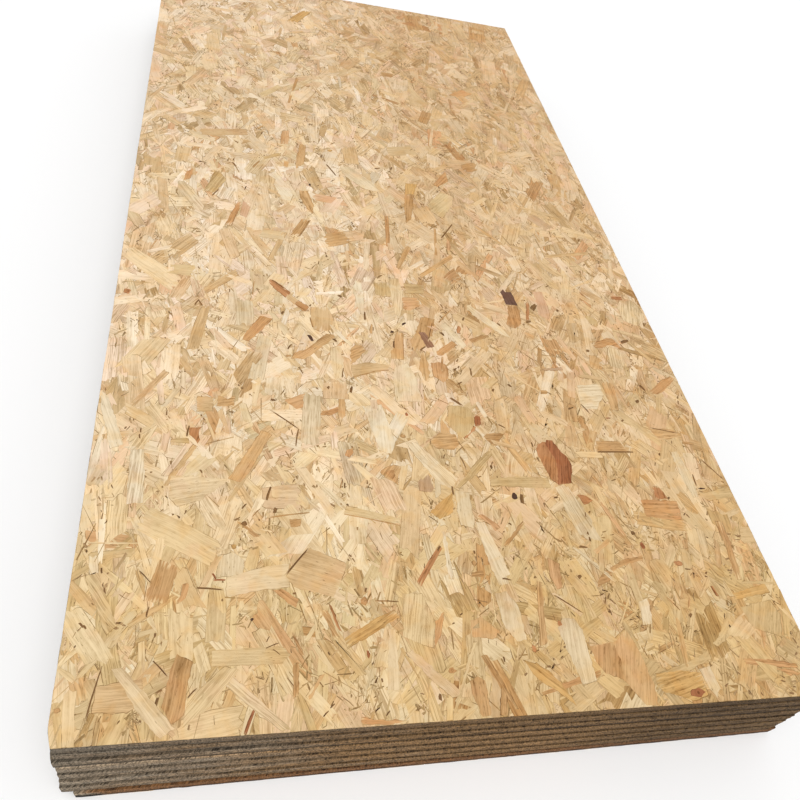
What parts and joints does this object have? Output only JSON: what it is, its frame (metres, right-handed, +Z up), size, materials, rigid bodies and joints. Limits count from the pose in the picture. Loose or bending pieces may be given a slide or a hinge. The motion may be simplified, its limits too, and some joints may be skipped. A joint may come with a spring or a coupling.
{
  "type": "stack of osb panels",
  "caption": "Flat stack of square-edged oriented strand board sheets, laid by hand with slightly uneven edges.",
  "frame": {"origin": "middle of the stack's footprint, on the underside of the lowest sheet", "axes": "+Z up through the stack, +Y along the sheets' length, +X along their width"},
  "size_m": [1.249, 2.4574, 0.2021],
  "materials": {
    "top_board": "pale pressed strands, matt, square-sawn edges weathered grey-brown",
    "inner_board": "pressed strands, matt, square-sawn edges weathered grey-brown",
    "bottom_board": "pressed strands, matt, square-sawn edges orange-brown"
  },
  "bodies": {
    "root": {"panel_1_top": "top_board", "panel_2": "inner_board", "panel_3": "inner_board", "panel_4": "inner_board", "panel_5": "inner_board", "panel_6": "inner_board", "panel_7": "inner_board", "panel_8_bottom": "bottom_board"}
  },
  "joints": []
}
